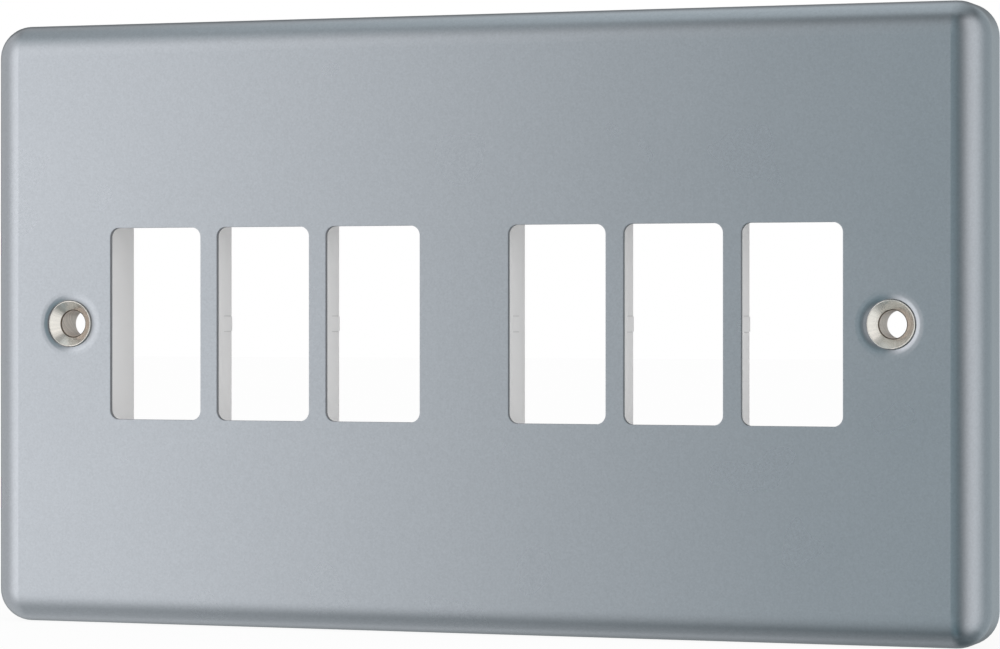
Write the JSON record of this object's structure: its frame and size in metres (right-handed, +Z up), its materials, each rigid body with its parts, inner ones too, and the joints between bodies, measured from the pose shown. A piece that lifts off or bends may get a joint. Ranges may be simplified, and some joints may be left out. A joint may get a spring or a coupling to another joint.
{
  "type": "grid switch plate",
  "caption": "Satin metallic wall plate for rocker modules: dished steel face with rectangular apertures in two groups, a white moulded liner behind and countersunk fixing eyelets.",
  "frame": {"origin": "middle of the plate: half way between its fixing holes, and half way from its front face to its back rim", "axes": "+X to the plate's right as seen from the front, +Y from the front face towards the wall, +Z up"},
  "size_m": [0.146, 0.0094, 0.0862],
  "materials": {
    "face_plate": "satin silver-grey metallic paint",
    "liner": "white moulded plastic",
    "eyelet": "bright nickel plate",
    "earth_terminal": "bare extruded brass",
    "earth_screw": "zinc plated"
  },
  "bodies": {
    "root": {"face_plate": "face_plate", "liner": "liner", "eyelet_left": "eyelet", "eyelet_right": "eyelet", "earth_terminal": "earth_terminal", "earth_screw": "earth_screw"}
  },
  "joints": []
}
